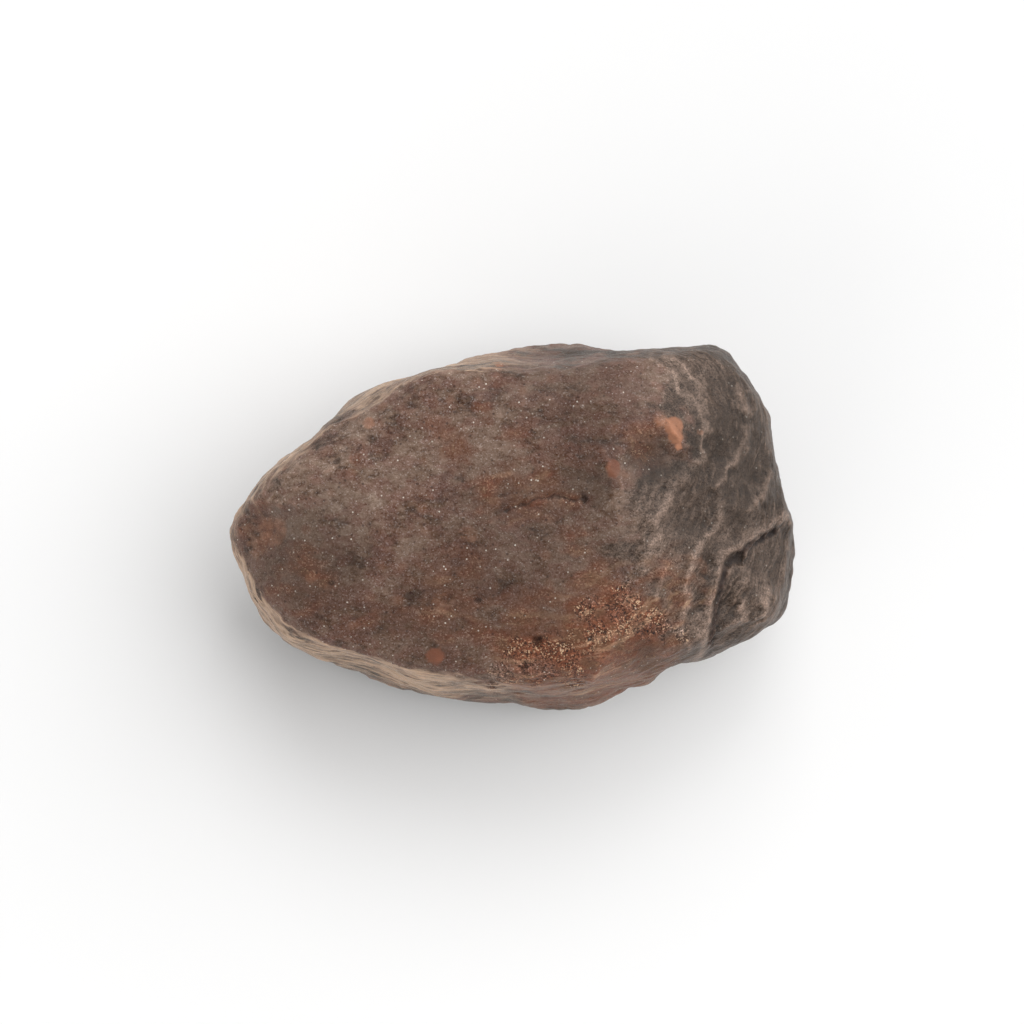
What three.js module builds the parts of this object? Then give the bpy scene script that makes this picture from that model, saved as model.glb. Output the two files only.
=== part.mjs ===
// A stone meteorite: a single weathered stone that lies on a small worn flat.
// Millimetres, +Z up, +X towards the broad blunt end. The origin is on the resting plane, under the
// middle of the stone's outline.
//
// The stone is a sphere of small triangles that is pushed out to the belt, the stone's widest line,
// and then cut by its natural faces: those above the belt from above, and those below from below.
import * as THREE from "three";
import { mergeVertices } from "three/addons/utils/BufferGeometryUtils.js";

// Driving dimensions
const LENGTH = 60;
const WIDTH = 39.1;
const HEIGHT = 27;
const WALL_RISE = 26; // how high the wall over the belt would bulge if no face cut it
const WALL_DROP = 17; // the same below the belt
const WALL_WEAR = 1.8; // how soon the belt's fine outline fades away above and below it
const UPPER_SOFTNESS = 0.6; // how far the edges between the upper faces are worn round
const LOWER_SOFTNESS = 0.9; // the same for the lower faces
const SPHERE_DETAIL = 17; // each of the icosahedron's 20 faces has (SPHERE_DETAIL + 1)^2 triangles
const POINTS_PER_CORNER = 60; // samples of the belt's curve for each of its corners
const TABLE_STEPS = 720; // directions in the belt's table
const WORN_STEPS = 36; // how many of them to each side are averaged in the worn outline

// The belt: x and y of the outline, and z, the height where the stone is widest there
const BELT = [
  [-30.0, 0.2, 15.5], // the pointed west end
  [-28.6, 3.5, 15.5],
  [-25.1, 6.7, 15.5],
  [-21.3, 9.2, 15.0],
  [-18.9, 12.4, 15.0],
  [-15.2, 15.4, 14.5],
  [-8.5, 17.2, 13.0],
  [-1.5, 19.1, 12.0],
  [3.8, 19.9, 11.5],
  [9.1, 19.7, 12.0],
  [14.4, 19.0, 13.0],
  [18.4, 19.0, 14.0],
  [20.7, 19.4, 14.5], // north-east corner
  [23.0, 17.0, 14.0],
  [25.0, 14.4, 13.0],
  [26.9, 11.8, 12.0],
  [28.1, 7.9, 11.0],
  [28.6, 2.9, 10.5],
  [29.5, -2.0, 10.5],
  [29.0, -6.2, 11.0],
  [27.4, -10.2, 11.0],
  [25.7, -11.1, 10.5],
  [22.5, -12.7, 9.5],
  [19.7, -14.1, 9.0],
  [15.6, -14.1, 8.5], // the notch in the south-east side
  [14.1, -16.1, 8.0],
  [10.9, -17.4, 7.5],
  [6.7, -19.9, 7.0], // south spur
  [1.5, -19.6, 7.0],
  [-6.0, -18.5, 7.5],
  [-12.2, -17.1, 8.5],
  [-18.5, -15.0, 10.0],
  [-23.6, -13.0, 11.5],
  [-26.8, -9.5, 13.0],
  [-28.7, -5.0, 14.5],
];

// The natural faces over the belt: a point on each, and how steeply it climbs along +X and +Y
const UPPER_FACES = [
  { at: [-2, 2, 26.1], climb: [0.075, -0.07] }, // the broad west face
  { at: [-16, -2, 25.4], climb: [0.11, 0.25] }, // its south-west shoulder
  { at: [-27.2, 0, 21.2], climb: [0.9, 0.12] }, // the west tip
  { at: [-20, 8.2, 23.6], climb: [0.75, -1.15] }, // north-west bevel
  { at: [0, 15.6, 24.6], climb: [0.06, -0.85] }, // north bevel
  { at: [13, 12.5, 25.6], climb: [-0.3, -0.42] }, // north-east slope
  { at: [12, 2, 26.9], climb: [-0.5, 0.06] }, // the east flank
  { at: [26, 0, 18.6], climb: [-1.1, -0.1] }, // where the flank drops to the blunt end
  { at: [10, -11.5, 25.2], climb: [-0.42, 0.3] }, // south-east slope
  { at: [-12, -17, 13], climb: [1.3, 4] }, // from here on, the steep walls: south-west
  { at: [0, -19, 13.5], climb: [-0.3, 3.5] }, // south
  { at: [11, -17.4, 13], climb: [-0.9, 3] }, // south-south-east
  { at: [28, 3, 17], climb: [-3.5, -0.8] }, // east
  { at: [3, 19.4, 15.5], climb: [0.2, -3.2] }, // north
  { at: [-15.2, 15.2, 18], climb: [1.9, -3.2] }, // north-west
];

// The natural faces under the belt: each climbs outwards in a compass direction, in degrees from +X
// towards +Y, from its foot, which is how far from the middle it meets the resting plane
const LOWER_FACES = [
  { toward: 352, foot: 22, climb: 1.05 },
  { toward: 47, foot: 18, climb: 0.85 },
  { toward: 96, foot: 12.5, climb: 1.35 },
  { toward: 132, foot: 14, climb: 1.1 },
  { toward: 183, foot: 20, climb: 0.95 },
  { toward: 214, foot: 19, climb: 0.8 },
  { toward: 262, foot: 15, climb: 1.0 },
  { toward: 311, foot: 16.5, climb: 0.6 },
  { toward: 20, foot: 9, climb: 0.33 }, // from here on, the low faces round the resting flat
  { toward: 81, foot: 6, climb: 0.4 },
  { toward: 158, foot: 9, climb: 0.37 },
  { toward: 243, foot: 7.5, climb: 0.36 },
  { toward: 300, foot: 9, climb: 0.28 },
];

// Thumbprint hollows left by its fall: where the middle is, how wide, and how deep
const HOLLOWS = [
  { at: [5, 3.5, 26], radius: 6, depth: 0.5 },
  { at: [-26, -1, 22], radius: 4, depth: 0.6 },
  { at: [-8, -9, 24], radius: 6, depth: 0.35 },
  { at: [3, 19, 17], radius: 6, depth: 1.3 },
  { at: [-13, 15, 15], radius: 5.5, depth: 1.1 },
  { at: [14, 19, 11], radius: 6, depth: 1.4 },
  { at: [-4, 17, 7], radius: 5.5, depth: 1.1 },
  { at: [28, 9, 12], radius: 6, depth: 1.5 },
  { at: [29, -4, 15], radius: 5, depth: 1.0 },
  { at: [24, 2, 4], radius: 6.5, depth: 1.3 },
  { at: [23, -12, 8], radius: 5, depth: 1.1 },
  { at: [-3, -19, 14], radius: 6.5, depth: 1.4 },
  { at: [-16, -15, 16], radius: 5, depth: 1.2 },
  { at: [9, -18, 14], radius: 5, depth: 1.1 },
  { at: [2, -17, 4], radius: 6, depth: 1.0 },
  { at: [-21, -10, 6], radius: 6, depth: 1.2 },
  { at: [-24, 4, 6], radius: 6, depth: 1.3 },
  { at: [8, 12, 3], radius: 6, depth: 0.9 },
];
const CORE = new THREE.Vector3(0, 0, 12); // what a hollow is pressed towards

// Long low swells that keep the faces from being true planes. Each is one wave times another, and a
// wave is given by its turn, in radians, for each millimetre along X, Y and Z
const SWELLS = [
  { height: 0.22, wave: [0.31, 0.22, 0], across: [0, 0.27, -0.19], shift: 1 },
  { height: 0.14, wave: [0.63, -0.41, 0.5], across: [0.35, 0.52, 0], shift: 2 },
];

// The lowest value, except that values closer together than the softness blend into a round edge
function smoothMin(values, softness) {
  const lowest = Math.min(...values);
  const sum = values.reduce((total, v) => total + Math.exp((lowest - v) / softness), 0);
  return lowest - softness * Math.log(sum);
}

// The same for the highest value
function smoothMax(values, softness) {
  return -smoothMin(values.map((v) => -v), softness);
}

// The height of a face over a place on the resting plane
function upperHeight(face, x, y) {
  return face.at[2] + face.climb[0] * (x - face.at[0]) + face.climb[1] * (y - face.at[1]);
}

function lowerHeight(face, x, y) {
  const turn = THREE.MathUtils.degToRad(face.toward);
  return face.climb * (x * Math.cos(turn) + y * Math.sin(turn) - face.foot);
}

// The belt's reach and height at every half degree about the vertical axis, and its reach once worn
// smooth, which the walls follow as they leave the belt
function beltTable() {
  const corners = BELT.map(([x, y, z]) => new THREE.Vector3(x, y, z));
  const curve = new THREE.CatmullRomCurve3(corners, true, "centripetal");
  const points = curve.getPoints(POINTS_PER_CORNER * BELT.length).slice(1);
  const samples = points
    .map((p) => ({ turn: turnOf(p.x, p.y), reach: Math.hypot(p.x, p.y), height: p.z }))
    .sort((a, b) => a.turn - b.turn);
  const table = [];
  for (let i = 0; i < TABLE_STEPS; i++) {
    const turn = i / TABLE_STEPS;
    const found = samples.findIndex((s) => s.turn >= turn);
    table.push({ ...samples[Math.max(found, 0)] });
  }
  for (let i = 0; i < TABLE_STEPS; i++) {
    let total = 0;
    for (let j = -WORN_STEPS; j <= WORN_STEPS; j++) {
      total += table[(i + j + TABLE_STEPS) % TABLE_STEPS].reach;
    }
    table[i].wornReach = total / (2 * WORN_STEPS + 1);
  }
  return table;
}

// The angle of a point about the vertical axis, as a share of a full turn
function turnOf(x, y) {
  return (Math.atan2(y, x) / (2 * Math.PI) + 1) % 1;
}

// The table's values in one direction
function beltAt(table, turn) {
  const place = turn * TABLE_STEPS;
  const before = table[Math.floor(place) % TABLE_STEPS];
  const after = table[(Math.floor(place) + 1) % TABLE_STEPS];
  const between = (key) => THREE.MathUtils.lerp(before[key], after[key], place % 1);
  return { reach: between("reach"), wornReach: between("wornReach"), height: between("height") };
}

// Moves a point inwards by what each hollow near it takes away
function pressHollows(point) {
  for (const { at, radius, depth } of HOLLOWS) {
    const away = point.distanceTo(new THREE.Vector3(...at)) / radius;
    const inward = CORE.clone().sub(point).normalize();
    point.addScaledVector(inward, depth * Math.exp(-away * away));
  }
}

function swell(point) {
  const phase = (wave) => point.dot(new THREE.Vector3(...wave));
  return SWELLS.reduce(
    (total, { height, wave, across, shift }) =>
      total + height * Math.sin(phase(wave) + shift) * Math.cos(phase(across) + shift),
    0,
  );
}

// Where a point of the unit sphere goes on the stone
function stonePoint(direction, table) {
  const share = Math.min(1, Math.hypot(direction.x, direction.y));
  const turn = turnOf(direction.x * LENGTH, direction.y * WIDTH);
  const belt = beltAt(table, turn);
  const worn = Math.min(1, WALL_WEAR * Math.abs(direction.z));
  const out = share * THREE.MathUtils.lerp(belt.reach, belt.wornReach, worn);
  const x = out * Math.cos(2 * Math.PI * turn);
  const y = out * Math.sin(2 * Math.PI * turn);
  const above = UPPER_FACES.map((face) => upperHeight(face, x, y));
  const below = LOWER_FACES.map((face) => lowerHeight(face, x, y));
  const z =
    direction.z >= 0
      ? smoothMin([belt.height + direction.z * WALL_RISE, ...above], UPPER_SOFTNESS)
      : smoothMax([belt.height + direction.z * WALL_DROP, ...below], LOWER_SOFTNESS);
  const point = new THREE.Vector3(x, y, z);
  const swollen = swell(point);
  pressHollows(point);
  return point.addScaledVector(direction, swollen);
}

function stoneGeometry() {
  const sphere = new THREE.IcosahedronGeometry(1, SPHERE_DETAIL);
  sphere.deleteAttribute("normal");
  sphere.deleteAttribute("uv");
  const geometry = mergeVertices(sphere, 1e-5);
  const positions = geometry.getAttribute("position");
  const table = beltTable();
  for (let i = 0; i < positions.count; i++) {
    const direction = new THREE.Vector3().fromBufferAttribute(positions, i);
    const point = stonePoint(direction, table);
    positions.setXYZ(i, point.x, point.y, point.z);
  }
  settle(geometry);
  geometry.computeVertexNormals();
  return geometry;
}

// Brings the stone to its stated size over the origin, and wears its lowest part to the resting plane
function settle(geometry) {
  geometry.computeBoundingBox();
  const { min, max } = geometry.boundingBox;
  const size = new THREE.Vector3().subVectors(max, min);
  const positions = geometry.getAttribute("position");
  for (let i = 0; i < positions.count; i++) {
    const x = ((positions.getX(i) - (min.x + max.x) / 2) * LENGTH) / size.x;
    const y = ((positions.getY(i) - (min.y + max.y) / 2) * WIDTH) / size.y;
    const z = Math.max(0, (positions.getZ(i) * HEIGHT) / max.z);
    positions.setXYZ(i, x, y, z);
  }
}

const stone = new THREE.Mesh(
  stoneGeometry(),
  new THREE.MeshStandardMaterial({ color: 0x5f4b42, roughness: 0.55, metalness: 0.05 }),
);
stone.name = "meteorite";

const part = new THREE.Group();
part.add(stone);

export default part;
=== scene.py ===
from math import cos, radians, sin

import bmesh
import bpy
import numpy as np
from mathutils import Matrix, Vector, noise


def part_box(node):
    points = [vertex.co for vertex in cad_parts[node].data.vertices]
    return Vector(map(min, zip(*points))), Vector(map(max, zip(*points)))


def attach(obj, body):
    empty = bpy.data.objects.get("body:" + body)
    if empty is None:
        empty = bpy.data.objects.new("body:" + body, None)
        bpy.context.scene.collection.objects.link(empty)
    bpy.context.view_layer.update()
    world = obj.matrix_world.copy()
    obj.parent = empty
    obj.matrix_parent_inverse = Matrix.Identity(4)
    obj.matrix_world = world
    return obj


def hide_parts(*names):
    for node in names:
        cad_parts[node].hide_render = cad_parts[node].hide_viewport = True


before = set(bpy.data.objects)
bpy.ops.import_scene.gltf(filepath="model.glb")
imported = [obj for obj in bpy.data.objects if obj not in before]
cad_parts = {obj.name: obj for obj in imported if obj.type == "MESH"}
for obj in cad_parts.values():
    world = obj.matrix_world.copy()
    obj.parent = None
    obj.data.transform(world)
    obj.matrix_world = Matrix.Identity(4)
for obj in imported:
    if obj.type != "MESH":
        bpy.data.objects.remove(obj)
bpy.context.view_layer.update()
mm = 0.001
low, high = (np.array(corner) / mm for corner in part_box("meteorite"))
span = high - low


# Places on the stone's top are given as shares of its length and width, from its pointed end and its
# south side. Distances over the stone are in millimetres.
def onTop(places):
    return low[:2] + np.array(places, float) * span[:2]


def ramp(values, start, end):
    share = np.clip((values - start) / (end - start), 0, 1)
    return share * share * (3 - 2 * share)


def lumps(points, size, octaves=3, seed=0):  # fractal noise about zero, its largest lumps size mm wide
    shift = Vector((7.3, 3.1, 5.7)) * seed
    scaled = (points / size).tolist()
    return np.array([noise.fractal(Vector(p) + shift, 1, 2, octaves) for p in scaled])


def nearLine(spots, path):  # distance to a drawn line, the side of it (left is +1), the share along it
    best = np.full(len(spots), 1e9)
    side = np.zeros(len(spots))
    along = np.zeros(len(spots))
    for i in range(len(path) - 1):
        step = path[i + 1] - path[i]
        share = np.clip((spots - path[i]) @ step / (step @ step), 0, 1)
        away = spots - path[i] - share[:, None] * step
        distance = np.hypot(away[:, 0], away[:, 1])
        nearer = distance < best
        best = np.where(nearer, distance, best)
        side = np.where(nearer, np.sign(step[0] * away[:, 1] - step[1] * away[:, 0]), side)
        along = np.where(nearer, (i + share) / (len(path) - 1), along)
    return best, side, along


def insideLoop(spots, path):
    inside = np.zeros(len(spots), bool)
    for (ax, ay), (bx, by) in zip(path, np.roll(path, -1, axis=0)):
        crosses = (ay > spots[:, 1]) != (by > spots[:, 1])
        inside ^= crosses & (spots[:, 0] < (bx - ax) * (spots[:, 1] - ay) / (by - ay) + ax)
    return inside


meshPlan = {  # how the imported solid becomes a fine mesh
    "rounding": 2,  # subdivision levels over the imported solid's facets
    "voxel": 0.2,  # mm, the grid of the fine mesh that is sculpted
    "triangles": 190000,  # what the finished stone keeps
    "smallestGap": 0.001,  # mm, corners nearer than this are one
    "settled": 0.05,  # mm, lower points belong to the worn flat
}


def applyModifiers(piece):
    graph = bpy.context.evaluated_depsgraph_get()
    shape = bpy.data.meshes.new_from_object(piece.evaluated_get(graph))
    piece.modifiers.clear()
    piece.data = shape


def copySolid():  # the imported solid, rounded and remeshed finely
    bm = bmesh.new()
    bm.from_mesh(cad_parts["meteorite"].data)
    bmesh.ops.remove_doubles(bm, verts=bm.verts, dist=meshPlan["smallestGap"] * mm)
    mesh = bpy.data.meshes.new("stone")
    bm.to_mesh(mesh)
    bm.free()
    piece = bpy.data.objects.new("stone", mesh)
    bpy.context.scene.collection.objects.link(piece)
    rounder = piece.modifiers.new("rounding", "SUBSURF")
    rounder.levels = rounder.render_levels = meshPlan["rounding"]
    finer = piece.modifiers.new("fine", "REMESH")
    finer.mode = "VOXEL"
    finer.voxel_size = meshPlan["voxel"] * mm
    applyModifiers(piece)
    return piece


def readPoints(mesh):
    flat = np.empty(len(mesh.vertices) * 3)
    mesh.vertices.foreach_get("co", flat)
    return flat.reshape(-1, 3) / mm


def writePoints(mesh, points):
    mesh.vertices.foreach_set("co", (points * mm).ravel())
    mesh.update()


def readNormals(mesh):
    flat = np.empty(len(mesh.vertices) * 3, np.float32)
    mesh.vertex_normals.foreach_get("vector", flat)
    return flat.reshape(-1, 3).astype(float)


# What is carved into the stone. Places are shares of its top, and all else is in millimetres.
carving = {
    "faceEdge": [  # round the broad west face, which the crust has come off
        (0.75, 0.84), (0.795, 0.72), (0.74, 0.65), (0.69, 0.59), (0.67, 0.50), (0.672, 0.41),
        (0.73, 0.33), (0.77, 0.22), (0.72, 0.05), (0.60, -0.05), (0.42, 0.015), (0.29, 0.085),
        (0.19, 0.15), (0.11, 0.22), (0.03, 0.34), (0.0, 0.46), (0.01, 0.58), (0.12, 0.67),
        (0.24, 0.81), (0.37, 0.94), (0.49, 1.03), (0.62, 1.10), (0.72, 1.06),
    ],
    "faceFade": (-2.4, 1.8),  # where the face begins, outside that line, and where it is whole
    "faceRagged": 3.0,  # how far the line strays
    "flowCentre": (0.44, 0.73),  # what the crust's flow lines run round
    "flowStretch": 1.25,  # how much longer than wide they are
    "flowFall": 0.8,  # how fast they go on down the walls
    "strayWidth": 2.5,  # how the drawn lines of the flank stray from their paths
    "strayReach": 0.65,
    "ridges": [  # the raised flow lines of the east flank
        {"height": 0.34, "width": 0.8, "path": [
            (0.640, 0.71), (0.667, 0.674), (0.68, 0.627), (0.672, 0.57), (0.68, 0.50),
        ]},
        {"height": 0.42, "width": 0.9, "path": [
            (0.735, 0.79), (0.765, 0.765), (0.785, 0.72), (0.778, 0.68),
        ]},
        {"height": 0.30, "width": 0.7, "path": [
            (0.815, 0.84), (0.829, 0.79), (0.822, 0.73), (0.819, 0.685), (0.80, 0.653),
        ]},
        {"height": 0.26, "width": 0.9, "path": [
            (0.80, 0.653), (0.776, 0.62), (0.767, 0.574), (0.75, 0.52), (0.741, 0.468), (0.72, 0.41),
            (0.69, 0.31),
        ]},
        {"height": 0.30, "width": 0.6, "path": [
            (0.882, 0.887), (0.897, 0.853), (0.897, 0.818), (0.912, 0.80),
        ]},
        {"height": 0.34, "width": 0.7, "path": [
            (0.905, 0.774), (0.90, 0.715), (0.882, 0.675), (0.861, 0.635), (0.841, 0.595),
        ]},
        {"height": 0.26, "width": 0.8, "path": [
            (0.949, 0.66), (0.935, 0.61), (0.915, 0.566), (0.906, 0.53),
        ]},
        {"height": 0.36, "width": 0.6, "path": [
            (0.869, 0.58), (0.854, 0.534), (0.834, 0.48), (0.813, 0.433), (0.803, 0.367), (0.791, 0.31),
            (0.783, 0.24), (0.80, 0.16),
        ]},
        {"height": 0.36, "width": 0.6, "path": [(0.764, 0.415), (0.756, 0.362), (0.745, 0.30)]},
        {"height": 0.34, "width": 0.6, "path": [(0.904, 0.306), (0.894, 0.258), (0.869, 0.21)]},
        {"height": 0.26, "width": 0.8, "path": [(0.952, 0.346), (0.934, 0.273), (0.913, 0.224)]},
        {"height": 0.40, "width": 0.8, "path": [
            (0.673, 0.278), (0.657, 0.204), (0.642, 0.145), (0.614, 0.063),
        ]},
        {"height": 0.16, "width": 0.6, "path": [
            (0.685, 0.948), (0.716, 0.911), (0.741, 0.875), (0.764, 0.827),
        ]},
        {"height": 0.18, "width": 0.6, "path": [
            (0.73, 0.97), (0.763, 0.912), (0.789, 0.87), (0.814, 0.828),
        ]},
        {"height": 0.16, "width": 0.6, "path": [(0.76, 0.966), (0.80, 0.913), (0.829, 0.86)]},
        {"height": 0.22, "width": 0.6, "path": [
            (0.173, 0.751), (0.24, 0.802), (0.299, 0.865), (0.373, 0.897), (0.487, 0.956),
        ]},
        {"height": 0.28, "width": 0.6, "path": [(0.025, 0.582), (0.065, 0.582), (0.13, 0.566)]},
    ],
    "hollows": [  # where, how wide and how deep
        (0.733, 0.69, 2.2, 0.55), (0.86, 0.852, 2.6, 0.40), (0.847, 0.707, 1.8, 0.34),
        (0.904, 0.633, 2.0, 0.40), (0.803, 0.534, 2.3, 0.38), (0.642, 0.605, 2.2, 0.34),
        (0.831, 0.409, 1.0, 0.35), (0.717, 0.163, 2.0, 0.45), (0.885, 0.285, 1.2, 0.25),
        (0.742, 0.357, 1.1, 0.22), (0.93, 0.40, 2.2, 0.25), (0.913, 0.734, 1.6, 0.25),
        (0.821, 0.282, 1.2, 0.28), (0.071, 0.508, 3.0, 0.55),
    ],
    "scarp": {  # the step down to the south-east lobe
        "path": [
            (0.994, 0.529), (0.949, 0.494), (0.903, 0.453), (0.87, 0.414), (0.852, 0.307), (0.843, 0.20),
            (0.829, 0.13),
        ],
        "drop": 0.8,
        "slope": 1.1,
        "reach": 9.0,
        "lip": 0.08,
    },
    "cracks": [
        {"width": 0.2, "depth": 0.2, "path": [
            (0.484, 0.547), (0.518, 0.563), (0.552, 0.579), (0.571, 0.584), (0.595, 0.576),
            (0.618, 0.579),
        ]},
        {"width": 0.5, "depth": 0.16, "path": [
            (0.067, 0.582), (0.141, 0.642), (0.183, 0.671), (0.229, 0.711),
        ]},
        {"width": 0.42, "depth": 0.32, "path": [
            (0.95, 0.488), (0.903, 0.448), (0.866, 0.40), (0.851, 0.30), (0.842, 0.20),
        ]},
    ],
    "pits": [  # the same, with steeper sides
        (0.539, 0.197, 0.6, 0.6), (0.518, 0.131, 0.5, 0.45), (0.618, 0.579, 0.5, 0.35),
        (0.895, 0.419, 0.65, 0.5), (0.83, 0.375, 0.55, 0.4), (0.195, 0.68, 0.5, 0.22),
        (0.437, 0.31, 0.4, 0.25), (0.183, 0.355, 0.4, 0.25),
    ],
    "rubble": [  # where the patches of loose granular crust are and how wide
        (0.527, 0.157, 3.0), (0.58, 0.17, 2.4), (0.625, 0.284, 1.7), (0.69, 0.278, 2.3),
        (0.741, 0.252, 1.9), (0.789, 0.216, 1.2), (0.48, 0.10, 1.8), (0.68, 0.33, 1.4),
        (0.64, 0.22, 1.5), (0.60, 0.10, 1.6),
    ],
    "swellHeight": 0.30,  # the crust's soft swells
    "swellWidth": 6.0,
    "rippleHeight": 0.11,  # its flow lines
    "rippleWidth": 1.5,
    "scallopDepth": 0.55,  # the thumbprints on the walls and the underside
    "scallopWidth": 6.5,
    "faceRelief": 0.24,  # the lumps of the worn face
    "faceReliefWidth": 4.5,
    "wallRelief": 0.16,  # and of the walls
    "wallReliefWidth": 2.6,
    "wallPits": {"count": 110, "radius": (0.35, 1.1), "depth": (0.08, 0.30), "seed": 11},
    "grainHeight": 0.04,  # the finest relief, all over
    "grainWidth": 0.8,
    "rubbleRelief": 0.16,  # the grains of the loose crust
    "rubbleWidth": 0.9,
    "rubbleSink": 0.05,  # and how deep it lies
}


def flowAcross(points):  # how far a point is from the flow centre, over the edge and down the wall
    centre = onTop(carving["flowCentre"])
    reach = np.hypot((points[:, 0] - centre[0]) / carving["flowStretch"], points[:, 1] - centre[1])
    return reach + carving["flowFall"] * (high[2] - points[:, 2])


def faceShare(points, normals):  # 1 on the broad west face, 0 on the crust
    edge = onTop(carving["faceEdge"])
    closed = np.vstack([edge, edge[:1]])
    distance = nearLine(points[:, :2], closed)[0]
    signed = np.where(insideLoop(points[:, :2], edge), distance, -distance)
    ragged = lumps(points, 4.0, 3, seed=3)
    inside = ramp(signed + carving["faceRagged"] * ragged, *carving["faceFade"])
    return inside * ramp(normals[:, 2] + 0.5 * ragged, 0.05, 0.4)


def flankSpots(points):  # places from above, shaken a little so that drawn lines stray
    width = carving["strayWidth"]
    stray = np.stack([lumps(points, width, 4, seed=1), lumps(points, width, 4, seed=2)], axis=1)
    return points[:, :2] + carving["strayReach"] * stray


def pressOut(mesh, points, normals, move, freeHeight):  # moves points outwards, but not the flat below
    writePoints(mesh, points + normals * (move * ramp(points[:, 2], *freeHeight))[:, None])


def wornHighlitShare(points, normals):  # the rubbed tops of the raised lines, paler with wear and painted highlight, and a painted highlight along the scarp's upper edge
    spots = flankSpots(points)
    share = np.zeros(len(points))
    for ridge in carving["ridges"]:
        distance, side, along = nearLine(spots, onTop(ridge["path"]))
        taper = np.sqrt(np.clip(4 * along * (1 - along), 0, 1))
        share = np.maximum(share, taper * np.exp(-((distance / (0.55 * ridge["width"])) ** 2)))
    # a painted highlight along the scarp's upper edge, where the edge catches the light
    scarp = carving["scarp"]
    distance, side, along = nearLine(spots, onTop(scarp["path"]))
    share = np.maximum(share, 0.8 * np.exp(-(((side * distance + 0.6) / 0.4) ** 2)))
    return share * ramp(normals[:, 2], 0.1, 0.4)


def rubbleShare(points, normals):
    share = np.zeros(len(points))
    ragged = lumps(points, 1.6, 3, seed=4)
    for u, v, radius in carving["rubble"]:
        away = points[:, :2] - onTop((u, v))
        distance = np.hypot(away[:, 0], away[:, 1]) / radius + ragged * 0.8
        share = np.maximum(share, 1 - ramp(distance, 0.55, 1.1))
    return share * ramp(normals[:, 2], 0.2, 0.5)


def carveBroad(mesh):
    points = readPoints(mesh)
    normals = readNormals(mesh)
    top = ramp(normals[:, 2], 0.1, 0.4)
    spots = flankSpots(points)
    move = np.zeros(len(points))
    for u, v, radius, depth in carving["hollows"]:
        away = spots - onTop((u, v))
        move -= top * depth * np.exp(-(away**2).sum(axis=1) / radius**2)
    for ridge in carving["ridges"]:
        distance, side, along = nearLine(spots, onTop(ridge["path"]))
        taper = np.sqrt(np.clip(4 * along * (1 - along), 0, 1)) + 0.15
        move += top * taper * ridge["height"] * np.exp(-np.abs(distance / ridge["width"]) ** 1.5)
    scarp = carving["scarp"]
    distance, side, along = nearLine(spots, onTop(scarp["path"]))
    below = ramp(side * distance, -0.1, scarp["slope"])
    nearby = 1 - ramp(distance, 0.4 * scarp["reach"], scarp["reach"])
    move -= top * scarp["drop"] * below * nearby
    move += top * scarp["lip"] * np.exp(-((side * distance + 0.9) / 0.7) ** 2)
    walls = 1 - ramp(normals[:, 2], 0.2, 0.65)
    scallops = np.abs(lumps(points + np.array([0, 0, 3.0]), carving["scallopWidth"], 2, seed=5))
    lower = 1 - 0.7 * ramp(points[:, 2], 5, 14)
    move += walls * lower * carving["scallopDepth"] * (0.35 - 2.2 * np.clip(0.3 - scallops, 0, 1))
    pressOut(mesh, points, normals, move, (0.1, 1.5))


def carveFlow(mesh):
    points = readPoints(mesh)
    normals = readNormals(mesh)
    crust = 1 - 0.85 * faceShare(points, normals)
    across = flowAcross(points) + 2.6 * lumps(points, 8, 3, seed=6)
    lines = np.stack([across / carving["rippleWidth"], points[:, 0] / 4.5, points[:, 1] / 4.5], axis=1)
    ripples = 1 - 2.4 * np.abs(lumps(lines, 1, 3, seed=7))
    patchy = ramp(lumps(points, 5.0, 2, seed=8), -0.25, 0.35)
    top = 0.3 + 0.7 * ramp(normals[:, 2], 0.0, 0.5)
    move = crust * top * carving["rippleHeight"] * ripples * (0.25 + patchy)
    move += (1 - top) * carving["wallRelief"] * lumps(points, carving["wallReliefWidth"], 4, seed=15)
    move += crust * carving["swellHeight"] * lumps(points, carving["swellWidth"], 3, seed=14)
    move += (1 - crust) * carving["faceRelief"] * lumps(points, carving["faceReliefWidth"], 5, seed=9)
    pressOut(mesh, points, normals, move, (0.1, 1.5))


def carveFine(mesh):
    points = readPoints(mesh)
    normals = readNormals(mesh)
    top = ramp(normals[:, 2], 0.1, 0.4)
    move = carving["grainHeight"] * lumps(points, carving["grainWidth"], 3, seed=10)
    wander = np.stack([lumps(points, 1.2, 2, seed=11), lumps(points, 1.2, 2, seed=12)], axis=1)
    spots = points[:, :2] + 0.25 * wander
    warp = np.column_stack([wander, lumps(points, 1.2, 2, seed=16)])
    for crack in carving["cracks"]:
        distance = nearLine(spots, onTop(crack["path"]))[0]
        move -= top * crack["depth"] * np.exp(-((distance / crack["width"]) ** 2))
    for u, v, radius, depth in carving["pits"]:
        away = spots - onTop((u, v))
        move -= top * depth * np.exp(-((away**2).sum(axis=1) / radius**2) ** 1.5)
    pits = carving["wallPits"]
    dice = np.random.RandomState(pits["seed"])
    walls = np.flatnonzero((normals[:, 2] < 0.25) & (points[:, 2] > 1.5))
    for centre in points[dice.choice(walls, pits["count"])]:
        radius, depth = dice.uniform(*pits["radius"]), dice.uniform(*pits["depth"])
        away = points + 0.3 * radius * warp - centre
        move -= depth * np.exp(-((away**2).sum(axis=1) / radius**2))
    grains = carving["rubbleRelief"] * lumps(points, carving["rubbleWidth"], 3, seed=13)
    move += rubbleShare(points, normals) * (grains - carving["rubbleSink"])
    pressOut(mesh, points, normals, move, (0.05, 0.6))


def settleStone(mesh):  # the worn flat stays on the resting plane
    points = readPoints(mesh)
    points[:, 2] = np.where(points[:, 2] < meshPlan["settled"], 0, points[:, 2])
    writePoints(mesh, points)


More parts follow.
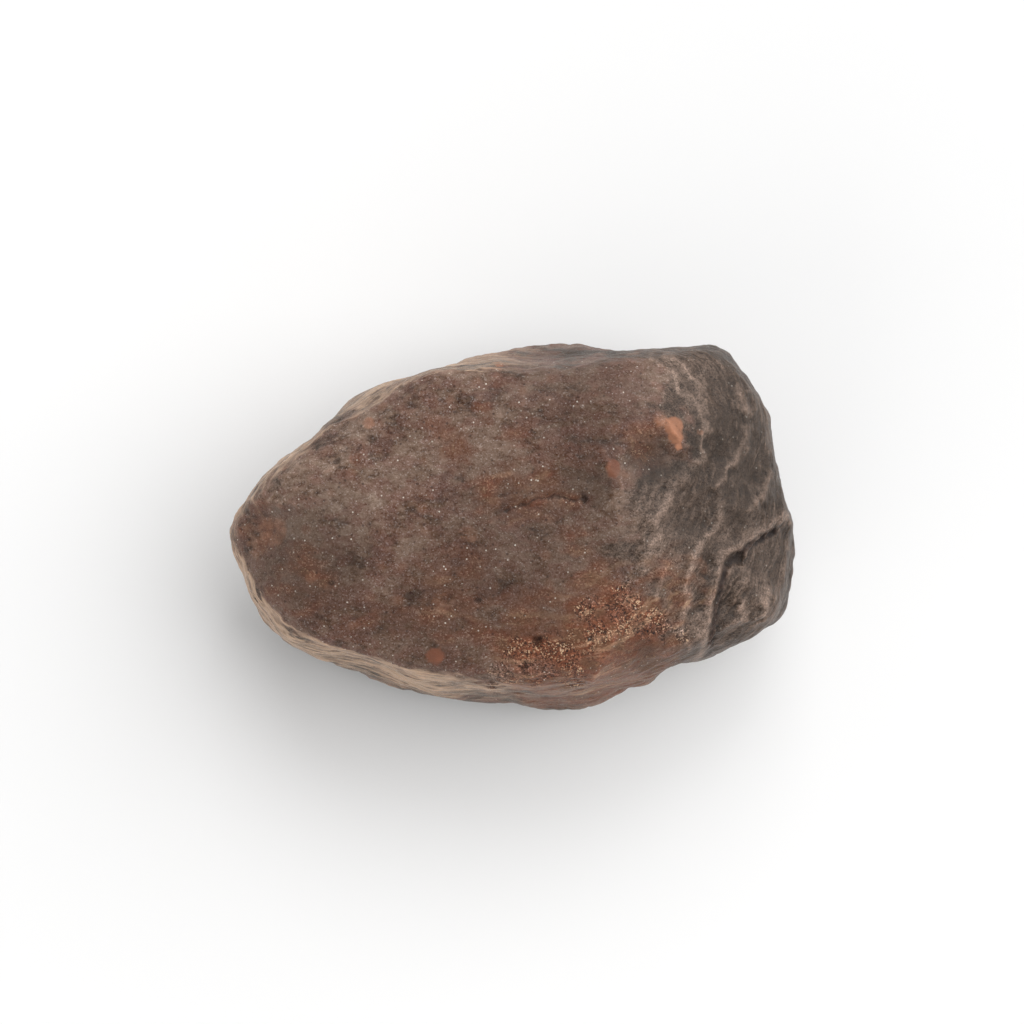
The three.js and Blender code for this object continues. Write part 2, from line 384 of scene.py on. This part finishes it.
def makeStone():
    stone = copySolid()
    print("fine mesh", len(stone.data.vertices), "points")
    carveBroad(stone.data)
    print("broad carving done")
    carveFlow(stone.data)
    carveFine(stone.data)
    print("fine carving done")
    settleStone(stone.data)
    thinner = stone.modifiers.new("thinner", "DECIMATE")
    thinner.ratio = min(1, meshPlan["triangles"] / (2 * len(stone.data.polygons)))
    thinner.use_collapse_triangulate = True
    applyModifiers(stone)
    settleStone(stone.data)
    stone.data.polygons.foreach_set("use_smooth", [True] * len(stone.data.polygons))
    stone.data.update()
    print("stone", len(stone.data.polygons), "faces")
    return stone


stone = makeStone()


# Where the colours lie. The shader follows these as layers of values on the mesh.
paint = {
    "cavitySteps": 8,  # how many rings of neighbours a hollow or a crest is judged against
    "cavityDepth": 0.10,  # mm that counts as a full one
    # spots of colour: where they are, how wide in mm and how strong
    "rust": [
        (0.66, 0.20, 7.0, 0.85), (0.54, 0.16, 5.0, 0.8), (0.48, 0.60, 3.5, 0.5),
        (0.56, 0.59, 3.0, 0.45), (0.13, 0.37, 3.5, 0.45), (0.07, 0.50, 3.4, 0.3),
        (0.40, 0.30, 5.0, 0.35), (0.72, 0.72, 2.0, 0.6), (0.60, 0.455, 2.5, 0.4),
        (0.45, 0.75, 6.0, 0.25), (0.78, 0.35, 4.0, 0.35), (0.68, 0.11, 5.0, 0.95),
        (0.58, 0.10, 4.0, 0.8), (0.28, 0.24, 3.5, 0.3),
    ],
    "ochre": [
        (0.055, 0.46, 1.6, 0.35), (0.773, 0.768, 1.0, 1.0), (0.752, 0.780, 0.9, 0.5),
        (0.776, 0.740, 0.8, 0.9), (0.782, 0.714, 0.4, 0.8), (0.472, 0.933, 0.6, 0.55),
        (0.248, 0.777, 0.75, 0.5), (0.42, 0.481, 1.2, 0.35), (0.375, 0.305, 1.3, 0.35),
        (0.458, 0.297, 1.1, 0.3), (0.08, 0.49, 1.8, 0.45), (0.819, 0.753, 0.45, 0.4),
        (0.638, 0.859, 0.8, 0.3), (0.15, 0.37, 0.8, 0.4),
    ],
    "chondrules": [
        (0.669, 0.656, (0.72, 1.0), 0.9), (0.363, 0.16, (0.92, 0.86), 1.0),
    ],
    "pale": {  # where the cream dust and painted light on the walls start and where they are full, in mm or as the normal's height
        "south": (5, 13),
        "east": (-12, 6),
        "eastLoss": 0.75,
        "northWest": (12, 22),
        "northWestShare": 0.7,
        "heights": (1, 19),
        "ragged": 3,
        "slopes": (0.35, 0.72),
    },
    "seam": {  # the painted shadow in the crack at the foot of the scarp
        "path": [
            (0.965, 0.497), (0.949, 0.487), (0.903, 0.447), (0.866, 0.40), (0.851, 0.30), (0.842, 0.20),
            (0.835, 0.12),
        ],
        "width": 0.6,
    },
    "fresh": [  # paler, greyer stone, and painted light on the upper-left of the face and on the lower flank
        (0.20, 0.60, 8.0, 0.9), (0.32, 0.72, 7.0, 0.6), (0.10, 0.65, 4.0, 0.8), (0.50, 0.85, 6.0, 0.45),
        (0.25, 0.84, 6.0, 1.0), (0.70, 0.50, 4.0, 0.6), (0.40, 0.95, 5.0, 0.35), (0.56, 1.0, 5.0, 0.2),
        (0.68, 0.62, 3.0, 0.4), (0.08, 0.72, 5.0, 1.0), (0.76, 0.42, 5.5, 0.9), (0.88, 0.45, 3.5, 0.6),
        (0.80, 0.22, 4.5, 0.7), (0.95, 0.18, 4.0, 0.4), (0.78, 0.86, 3.5, 1.0), (0.90, 0.33, 3.0, 0.5),
    ],
    "shade": [  # darker patches: darker stone, and painted shade in hollows and on slopes turned from the light
        (0.50, 0.45, 8.0, 0.45), (0.42, 0.42, 5.0, 0.3), (0.64, 0.50, 4.0, 0.4),
        (0.62, 0.78, 5.0, 0.35), (0.86, 0.62, 7.0, 0.5), (0.90, 0.88, 5.0, 0.5), (0.60, 0.96, 7.0, 0.4),
        (0.74, 0.66, 1.8, 1.0), (0.733, 0.68, 2.4, 0.9), (0.62, 0.60, 3.0, 0.7),
        (0.15, 0.42, 6.0, 0.65), (0.36, 0.26, 6.0, 0.4), (0.875, 0.76, 4.0, 0.65),
        (0.90, 0.62, 3.5, 0.8), (0.80, 0.53, 2.8, 0.6), (0.717, 0.163, 2.4, 0.5),
        (0.93, 0.40, 3.5, 0.3),
    ],
}


def paintSpots(points, spots, softness, up):
    share = np.zeros(len(points))
    for u, v, radius, strength in spots:
        away = (points[:, :2] - onTop((u, v))) / np.array(radius)
        distance = np.hypot(away[:, 0], away[:, 1])
        share = np.maximum(share, strength * (1 - ramp(distance, 1 - softness, 1 + softness)))
    return share * up


def cavityOf(mesh, points, normals):  # +1 on crests, -1 in hollows
    edges = np.empty(len(mesh.edges) * 2, np.int64)
    mesh.edges.foreach_get("vertices", edges)
    a, b = edges.reshape(-1, 2).T
    count = np.bincount(np.concatenate([a, b]), minlength=len(points))
    smooth = points.copy()
    for i in range(paint["cavitySteps"]):
        total = np.zeros_like(smooth)
        for axis in range(3):
            total[:, axis] += np.bincount(a, smooth[b, axis], len(points))
            total[:, axis] += np.bincount(b, smooth[a, axis], len(points))
        smooth = 0.5 * smooth + 0.5 * total / count[:, None]
    return np.clip(((points - smooth) * normals).sum(axis=1) / paint["cavityDepth"], -1, 1)


def dustAndLightShare(points, normals):  # cream dust and painted light bounced from the floor on the upper walls in the south and the north-west
    pale = paint["pale"]
    south = ramp(-points[:, 1] - 0.3 * points[:, 0], *pale["south"])
    south *= 1 - pale["eastLoss"] * ramp(points[:, 0], *pale["east"])
    northWest = pale["northWestShare"] * ramp(points[:, 1] - 0.9 * points[:, 0], *pale["northWest"])
    rim = ramp(points[:, 2] + pale["ragged"] * lumps(points, 6, 3, seed=17), *pale["heights"])
    return np.maximum(south, northWest) * rim * (1 - ramp(normals[:, 2], *pale["slopes"]))


def seamShadowShare(points):
    distance, side, along = nearLine(points[:, :2], onTop(paint["seam"]["path"]))
    return (1 - ramp(distance, 0.1, paint["seam"]["width"])) * ramp(along, 0, 0.1)


def paintStone(mesh):
    points = readPoints(mesh)
    normals = readNormals(mesh)
    upright = normals[:, 2]
    up = ramp(upright, 0.15, 0.45)
    masks = {
        "face": faceShare(points, normals),
        "rubble": rubbleShare(points, normals),
        "rust": paintSpots(points, paint["rust"], 0.6, ramp(upright, -0.05, 0.25)),
        "ochre": paintSpots(points, paint["ochre"], 0.35, up),
        "chondrule": paintSpots(points, paint["chondrules"], 0.12, up),
        "shade": paintSpots(points, paint["shade"], 0.6, up),
        "fresh": paintSpots(points, paint["fresh"], 0.8, 1.0),
        "worn": wornHighlitShare(points, normals),
        "cavity": cavityOf(mesh, points, normals),
        "across": flowAcross(points),
        "pale": dustAndLightShare(points, normals),
        "seam": seamShadowShare(points) * up,
        "top": ramp(upright, -0.05, 0.4),
    }
    for name, values in masks.items():
        layer = mesh.attributes.new(name, "FLOAT", "POINT")
        layer.data.foreach_set("value", values.astype(np.float32))


paintStone(stone.data)
print("masks painted")


class Wire:  # a socket that can be reckoned with; each sum adds its own node
    def __init__(self, tree, socket=None):
        self.tree = tree
        self.socket = socket

    def node(self, kind, settings=None, inputs=None, output=0):
        made = self.tree.nodes.new(kind)
        for name, value in (settings or {}).items():
            if name == "stops":
                self.setStops(made.color_ramp, value)
            else:
                setattr(made, name, value)
        for name, value in (inputs or {}).items():
            if isinstance(value, Wire):
                self.tree.links.new(value.socket, made.inputs[name])
            else:
                made.inputs[name].default_value = value
        return Wire(self.tree, made.outputs[output]) if made.outputs else None

    def sibling(self, output):  # another output of the same node
        return Wire(self.tree, self.socket.node.outputs[output])

    def setStops(self, colorRamp, stops):
        while len(colorRamp.elements) < len(stops):
            colorRamp.elements.new(0.5)
        for element, (place, colour) in zip(colorRamp.elements, stops):
            element.position = place
            element.color = (*colour, 1)

    def maths(self, operation, first, second=0.0):
        return self.node("ShaderNodeMath", {"operation": operation}, {0: first, 1: second})

    def vectorMaths(self, operation, first, second):
        return self.node("ShaderNodeVectorMath", {"operation": operation}, {0: first, 1: second})

    def __add__(self, other):
        return self.maths("ADD", self, other)

    def __sub__(self, other):
        return self.maths("SUBTRACT", self, other)

    def __rsub__(self, other):
        return self.maths("SUBTRACT", other, self)

    def __mul__(self, other):
        return self.maths("MULTIPLY", self, other)

    __radd__ = __add__
    __rmul__ = __mul__

    def scaled(self, value):  # this colour made brighter or darker
        return self.node("ShaderNodeVectorMath", {"operation": "SCALE"}, {0: self, "Scale": value})

    def lifted(self, value, darkest):  # this colour with some grey added, but no darker than the darkest
        grey = self.node("ShaderNodeCombineXYZ", inputs={0: value, 1: value, 2: value})
        return self.vectorMaths("MAXIMUM", self.shifted(grey), darkest)

    def shifted(self, step):
        return self.vectorMaths("ADD", self, step)

    def size(self):  # without its sign
        return self.maths("ABSOLUTE", self)

    def atMost(self, other):
        return self.maths("MINIMUM", self, other)

    def rise(self, start, end):  # 0 below start, 1 above end, eased between
        return self.node(
            "ShaderNodeMapRange",
            {"interpolation_type": "SMOOTHSTEP"},
            {"Value": self, "From Min": start, "From Max": end},
        )

    def blend(self, other, factor):  # this colour, turned towards the other by factor
        inputs = {0: factor, 6: self, 7: (*other, 1) if isinstance(other, tuple) else other}
        return self.node("ShaderNodeMix", {"data_type": "RGBA"}, inputs, output=2)


finish = {
    # colours
    "faceTaupe": (0.160, 0.101, 0.073),
    "faceBrown": (0.100, 0.054, 0.034),
    "faceRed": (0.112, 0.047, 0.034),
    "mottle": (0.138, 0.064, 0.047),
    "faceDark": (0.052, 0.028, 0.018),
    "litFreshGrey": (0.215, 0.150, 0.112),
    "crustDark": (0.036, 0.022, 0.014),
    "crustMid": (0.066, 0.041, 0.028),
    "crustLight": (0.225, 0.156, 0.120),
    "rust": (0.162, 0.046, 0.018),
    "umber": (0.120, 0.064, 0.032),
    "ochre": (0.35, 0.150, 0.080),
    "chondrule": (0.190, 0.066, 0.034),
    "inclusion": (0.180, 0.086, 0.054),
    "creamAndLight": (0.52, 0.35, 0.235),
    "metal": (0.90, 0.84, 0.74),
    "grainPale": (0.62, 0.42, 0.26),
    "grainDark": (0.022, 0.009, 0.006),
    "darkest": (0.004, 0.003, 0.002),
    # how large the patterns are, in mm
    "patchSize": 5.0,
    "hueSize": 1.9,
    "mottleSize": 1.3,
    "streakSize": 1.0,  # along the flow lines
    "clotSize": 0.65,
    "layerSize": 0.7,
    "gritSize": 0.3,
    "sandSize": 0.25,
    "dustSize": 0.13,
    "bedding": (0.55, 1.0, 1.0),  # clots and mottles are drawn out along the stone
    "layering": (0.16, 0.16, 1.0),  # the walls' cream dust and painted light lie in level layers
    # how strongly things show
    "redness": 0.50,
    "rustStrength": 0.84,
    "dustAndLightStrength": 0.9,
    "shadeStrength": 0.8,
    "metalStrength": 0.85,
    "wearAndHighlight": 0.4,  # how much paler crests are: wear and painted highlight
    "hollowShade": 0.5,  # and how much darker hollows are: painted shade
    # gloss and fine relief
    "roughness": 0.46,
    "lightBend": 1.37,  # the index of refraction
    "sheen": 0.06,
    "sheenRoughness": 0.4,
    "sheenTint": (1.0, 0.86, 0.72, 1.0),
    "bumpStrength": 0.9,
    "bumpDepth": 0.10,  # mm
}


def stoneMaterial():
    material = bpy.data.materials.new("weatheredStone")
    material.use_nodes = True
    tree = material.node_tree
    tree.nodes.clear()
    new = Wire(tree).node

    def mask(name):
        return new("ShaderNodeAttribute", {"attribute_name": name}, output="Fac")

    def speckle(size, detail=3.0, roughness=0.6, vector=None):
        inputs = {"Vector": vector or point, "Scale": 1 / size, "Detail": detail, "Roughness": roughness}
        return new("ShaderNodeTexNoise", inputs=inputs)

    def stretched(vector, scale):
        return new("ShaderNodeMapping", inputs={"Vector": vector, "Scale": scale})

    def cells(vector, size, output):
        return new("ShaderNodeTexVoronoi", inputs={"Vector": vector, "Scale": 1 / size}, output=output)

    def chanceOf(cell):  # a random level for each cell
        return new("ShaderNodeSeparateColor", inputs={"Color": cell})

    def grains(size, seed):
        return chanceOf(cells(point.shifted((seed * 2.3, seed * 4.1, seed * 1.7)), size, "Color"))

    def spots(spacing, inner, outer, keep, seed, vector=None):  # scattered spots, a share of them kept
        shifted = (vector or point).shifted((seed * 3.7, seed * 1.9, seed * 5.3))
        distance = cells(shifted, spacing, "Distance")
        chance = chanceOf(distance.sibling("Color"))
        return (1 - distance.rise(inner / spacing, outer / spacing)) * chance.rise(1 - keep, 1.01 - keep)

    # patterns over the whole stone, in mm
    point = stretched(new("ShaderNodeTexCoord", output="Object"), (1 / mm,) * 3)
    bedded = stretched(point, finish["bedding"])
    stacked = stretched(point, finish["layering"])
    pointX = new("ShaderNodeSeparateXYZ", inputs={"Vector": point})
    pointY = pointX.sibling("Y")
    across = mask("across") * 1.05 + speckle(3.0, 2.0) * 2.2
    flow = new("ShaderNodeCombineXYZ", inputs={0: across, 1: pointX * 0.16, 2: pointY * 0.16})
    layers = speckle(finish["layerSize"], 4.0, 0.7, stacked)
    patches = speckle(finish["patchSize"])
    hue = speckle(finish["hueSize"], 2.0, 0.5, bedded)
    mottles = speckle(finish["mottleSize"], 1.0, 0.5, bedded.shifted((7.0, 3.0, 5.0)))
    clots = speckle(finish["clotSize"], 4.0, 0.65, bedded)
    grit = speckle(finish["gritSize"], 2.0, 0.8)
    dust = grains(finish["dustSize"], 2)
    sand = (grains(finish["sandSize"], 1) - 0.5) * 0.25 + (dust - 0.5)
    # painted glints: tiny bright specks that stand in for sparkles of reflected light
    paintedGlints = dust.rise(0.90, 0.95)
    streaks = speckle(finish["streakSize"], 3.0, 0.55, flow)
    wisps = 1 - (streaks - 0.5).size().rise(0.0, 0.075)

    # what was painted
    face, rubble, rust, ochre = mask("face"), mask("rubble"), mask("rust"), mask("ochre")
    chondrule, shade, cavity, pale = mask("chondrule"), mask("shade"), mask("cavity"), mask("pale")
    fresh, worn, top, seam = mask("fresh"), mask("worn"), mask("top"), mask("seam")
    crests = cavity.rise(0.05, 1.0)
    dips = (0 - cavity).rise(0.05, 1.0)

    # the worn face: taupe, brown and red clots under fine sandy grain
    faceStops = [(0.40, finish["faceDark"]), (0.47, finish["faceBrown"]), (0.58, finish["faceTaupe"])]
    tone = new("ShaderNodeValToRGB", {"stops": faceStops}, {"Fac": patches * 0.6 + clots * 0.4})
    # paler grey: fresher stone and painted light
    tone = tone.blend(finish["litFreshGrey"], fresh * (patches + clots - 0.35).rise(0.35, 0.9) * 0.9)
    tone = tone.blend(finish["faceRed"], hue.rise(0.46, 0.64) * (finish["redness"] - fresh * 0.2))
    tone = tone.blend(finish["inclusion"], spots(2.5, 0.25, 0.85, 0.4, 1) * 0.6)
    tone = tone.blend(finish["mottle"], (mottles - patches * 0.3).rise(0.30, 0.46) * 0.45)
    tone = tone.scaled(1.12 + sand * 0.3 + (clots - 0.5) * 0.4)
    faceTone = tone.lifted(sand * 0.045 + paintedGlints * 0.06, finish["darkest"])

    # the crust: darker and smoother, with wisps along the flow and crests paler from wear and painted
    # highlight
    crustStops = [(0.36, finish["crustDark"]), (0.54, finish["crustMid"]), (0.82, finish["crustLight"])]
    level = patches * 0.6 + clots * 0.2 + fresh * 0.26 - (1 - top) * 0.02
    tone = new("ShaderNodeValToRGB", {"stops": crustStops}, {"Fac": level})
    wispy = wisps * (patches + fresh * 0.15).rise(0.36, 0.60) * (top * 0.3 + 0.1)
    tone = tone.blend(finish["crustLight"], wispy)
    # crests paler: wear and painted highlight
    tone = tone.blend(finish["crustLight"], crests * (streaks * top + clots * (1 - top)) * 0.65)
    # ridge tops and the scarp's edge made paler: wear and painted highlight
    tone = tone.blend(finish["crustLight"], worn * (streaks * 1.6 + clots * 1.4 - 0.80).rise(0.0, 0.75))
    tone = tone.scaled(1 + sand * 0.8 + (clots - 0.5) * 0.9 + (grit - 0.5) * 0.8)
    crustTone = tone.lifted(sand * 0.025 + paintedGlints * 0.01, finish["darkest"])
    base = crustTone.blend(faceTone, (face + (clots - 0.5) * 1.2).rise(0.15, 0.85))

    # rust, darker patches with painted shade, cream dust with painted light, ochre, chondrules and the
    # painted shadow along the seam
    rusty = (rust + (hue - 0.5) * 1.6 * rust.rise(0.0, 0.2)).rise(0.1, 0.9)
    base = base.blend(finish["rust"], rusty * finish["rustStrength"])
    base = base.blend(finish["grainPale"], rusty * streaks.rise(0.52, 0.66) * (0.5 - face * 0.25))
    base = base.blend(finish["umber"], rusty * mottles.rise(0.44, 0.60) * (0.6 - rubble * 0.5))
    # darker patches: darker stone and painted shade
    base = base.blend(finish["crustDark"], shade * finish["shadeStrength"] * (clots + 0.35).atMost(1.0))
    # cream dust on the walls, made paler still as painted light bounced from the floor
    dustingAndLight = (pale * (patches * 0.8 + clots * 0.8 + layers * 3.6 - 1.90)).rise(0.05, 0.9)
    base = base.blend(finish["creamAndLight"], dustingAndLight * finish["dustAndLightStrength"])
    ochreEdge = (ochre + (clots - 0.5) * 0.6 * ochre.rise(0.0, 0.1)).rise(0.2, 0.75)
    base = base.blend(finish["ochre"], ochreEdge * (0.45 + ochre * 0.4))
    base = base.blend(finish["chondrule"], chondrule * 0.85)
    # painted shadow along the crack at the scarp's foot
    base = base.blend(finish["grainDark"], seam * (clots + 0.4).atMost(1.0) * 0.9)

    # crests paler with wear and painted highlight, hollows darker with painted shade
    base = base.scaled(1 + crests * finish["wearAndHighlight"] - dips * finish["hollowShade"])

    # granular crust: pale and dark grains side by side
    loose = rubble.rise(0.05, 0.7)
    base = base.scaled(1 + (loose + rusty * 0.4) * (sand * 1.1 + (grit - 0.5) * 1.5))
    base = base.blend(finish["grainDark"], loose * clots.rise(0.54, 0.68) * 0.5)
    sparkle = grit.rise(0.62, 0.70) * 0.45 + dust.rise(0.80, 0.86) * clots.rise(0.40, 0.52) * 0.8
    base = base.blend(finish["grainPale"], (loose + rusty * 0.3) * sparkle * hue.rise(0.42, 0.56) * 0.85)

    # dark pinholes and pale metal flecks
    pinholes = spots(0.8, 0.06, 0.19, 0.5, 4) * (face * 0.55 + 0.15)
    base = base.blend(finish["grainDark"], pinholes * 0.9)
    chips = spots(0.6, 0.05, 0.11, 0.5, 5) * 0.8 + spots(2.1, 0.07, 0.15, 0.35, 6, bedded)
    fleck = chips * (clots * 0.5 + mottles * 0.5).rise(0.44, 0.60) * (face * 0.65 + 0.35)
    base = base.blend(finish["metal"], fleck * finish["metalStrength"])

    height = sand * 0.9 + clots * (2.1 - face - top * 0.2) + grit * (0.5 + loose)
    height = height + layers * pale * 1.6 + streaks * (1 - face) * top
    bump = new("ShaderNodeBump", inputs={
        "Strength": finish["bumpStrength"],
        "Distance": finish["bumpDepth"] * mm,
        "Height": height,
    })
    shader = new("ShaderNodeBsdfPrincipled", inputs={
        "Base Color": base,
        "Roughness": finish["roughness"] + sand * 0.3 + face * 0.04 + loose * 0.12,
        "Metallic": fleck * 0.6,
        "Normal": bump,
        "IOR": finish["lightBend"],
        "Sheen Weight": finish["sheen"],
        "Sheen Roughness": finish["sheenRoughness"],
        "Sheen Tint": finish["sheenTint"],
    })
    new("ShaderNodeOutputMaterial", inputs={"Surface": shader})
    return material


stone.data.materials.clear()
stone.data.materials.append(stoneMaterial())
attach(stone, "root")
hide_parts("meteorite")
print("stone shaded")


studio = {
    "floorSize": 6.0,  # metres, as are the camera's distances
    "floorColour": (0.86, 0.86, 0.86),
    "skyLow": 1.0,  # brightness of the sky at the horizon
    "skyHigh": 0.37,  # and overhead
    "skyBetween": (0.15, 0.5),  # the heights between which it changes
    # name, turn and height it comes from and how wide it looks in degrees, brightness, tint
    "lamps": [
        ("keyLight", 30, 45, 70, 2.36, (1, 1, 1)),
        ("topLight", 90, 45, 30, 0.70, (1, 1, 1)),
        ("fillLight", 225, 15, 60, 0.78, (1, 0.98, 0.95)),
    ],
    "lens": 150.0,
    "cameraHeight": 0.465,
    "cameraShift": (-0.00027, 0.00165),  # what the view is centred on, from the middle of the stone
}


def makeFloor():
    bm = bmesh.new()
    bmesh.ops.create_grid(bm, x_segments=1, y_segments=1, size=studio["floorSize"] / 2)
    mesh = bpy.data.meshes.new("floor")
    bm.to_mesh(mesh)
    bm.free()
    floor = bpy.data.objects.new("floor", mesh)
    bpy.context.scene.collection.objects.link(floor)
    material = bpy.data.materials.new("paleFloor")
    material.use_nodes = True
    tree = material.node_tree
    tree.nodes.clear()
    new = Wire(tree).node
    matt = new("ShaderNodeBsdfDiffuse", inputs={"Color": (*studio["floorColour"], 1)})
    new("ShaderNodeOutputMaterial", inputs={"Surface": matt})
    mesh.materials.append(material)


def makeSky():
    world = bpy.data.worlds.new("studio")
    world.use_nodes = True
    bpy.context.scene.world = world
    tree = world.node_tree
    tree.nodes.clear()
    new = Wire(tree).node
    direction = new("ShaderNodeTexCoord", output="Generated")
    up = new("ShaderNodeSeparateXYZ", inputs={"Vector": direction}, output="Z")
    strength = studio["skyLow"] - up.rise(*studio["skyBetween"]) * (studio["skyLow"] - studio["skyHigh"])
    light = new("ShaderNodeBackground", inputs={"Color": (1, 1, 1, 1), "Strength": strength})
    new("ShaderNodeOutputWorld", inputs={"Surface": light})


def makeLamp(name, turn, height, width, brightness, tint):
    data = bpy.data.lights.new(name, "SUN")
    data.angle = radians(width)
    data.energy = brightness
    data.color = tint
    turn, height = radians(turn), radians(height)
    towards = Vector((cos(turn) * cos(height), sin(turn) * cos(height), sin(height)))
    light = bpy.data.objects.new(name, data)
    light.location = towards
    light.rotation_euler = towards.to_track_quat("Z", "Y").to_euler()
    bpy.context.scene.collection.objects.link(light)


def makeCamera():
    data = bpy.data.cameras.new("camera")
    data.lens = studio["lens"]
    data.clip_start = 0.01
    data.clip_end = 10
    camera = bpy.data.objects.new("camera", data)
    camera.location = (*studio["cameraShift"], studio["cameraHeight"])
    bpy.context.scene.collection.objects.link(camera)
    bpy.context.scene.camera = camera


makeFloor()
makeSky()
for lamp in studio["lamps"]:
    makeLamp(*lamp)
makeCamera()
bpy.context.scene.view_settings.view_transform = "Standard"
print("studio ready")
